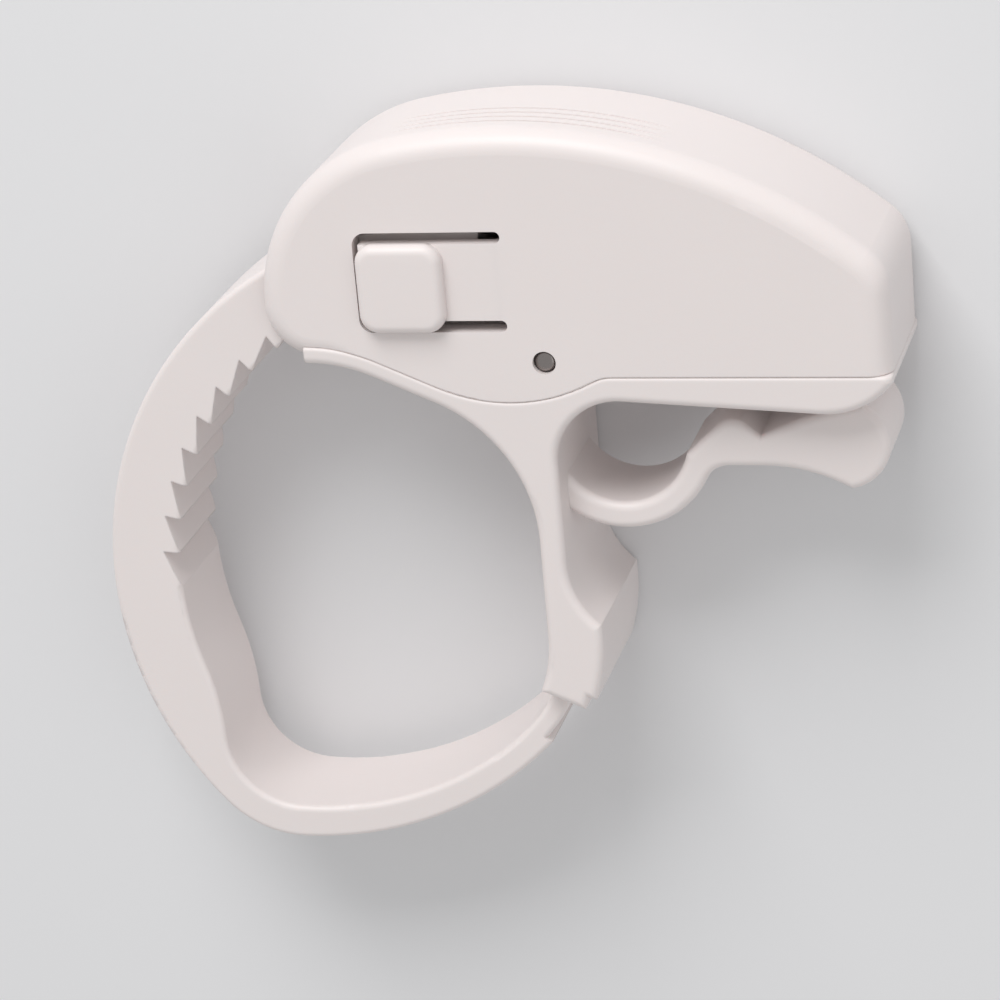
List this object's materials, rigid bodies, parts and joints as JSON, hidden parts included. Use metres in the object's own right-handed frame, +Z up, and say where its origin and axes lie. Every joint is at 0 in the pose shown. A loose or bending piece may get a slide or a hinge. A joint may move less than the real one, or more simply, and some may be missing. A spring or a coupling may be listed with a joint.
{
  "type": "cable clip",
  "caption": "Plastic cable clip with a large loop closed by a toothed strap, a push button that frees the strap, and a small loop with a sprung finger for a single cable.",
  "frame": {"origin": "under the middle of the clip as it lies on its far side wall, on the face that it rests on", "axes": "+X along the clip towards the thumb tab, +Y from the large loop towards the closed housing, +Z up out of the side with the button"},
  "size_m": [0.0438, 0.041, 0.0108],
  "materials": {
    "white_plastic": "smooth moulded, soft gloss",
    "plain_plastic": "plain moulded",
    "steel": "bright drawn wire"
  },
  "bodies": {
    "housing": {"shell": "white_plastic", "frame": "white_plastic", "pivot_pin": "steel", "pawl_spring": "steel"},
    "button": {"release_button": "white_plastic"},
    "pawl": {"pawl": "plain_plastic"}
  },
  "joints": [
    {"name": "button_press", "type": "hinge", "parent": "housing", "child": "button", "pos_m": [0.0021, 0.01246, 0.0092], "axis": [0, -1, 0], "range_deg": [0, 5.5], "stiffness_Nm_per_rad": 0.1},
    {"name": "pawl_turn", "type": "hinge", "parent": "housing", "child": "pawl", "pos_m": [0.0039, 0.00806, 0.005], "axis": [0, 0, 1], "range_deg": [0, 5.5], "stiffness_Nm_per_rad": 0.01, "deforming": ["pawl_spring"]}
  ],
  "couplings": [
    {"joint": "pawl_turn", "follows": "button_press", "ratio": 1}
  ]
}
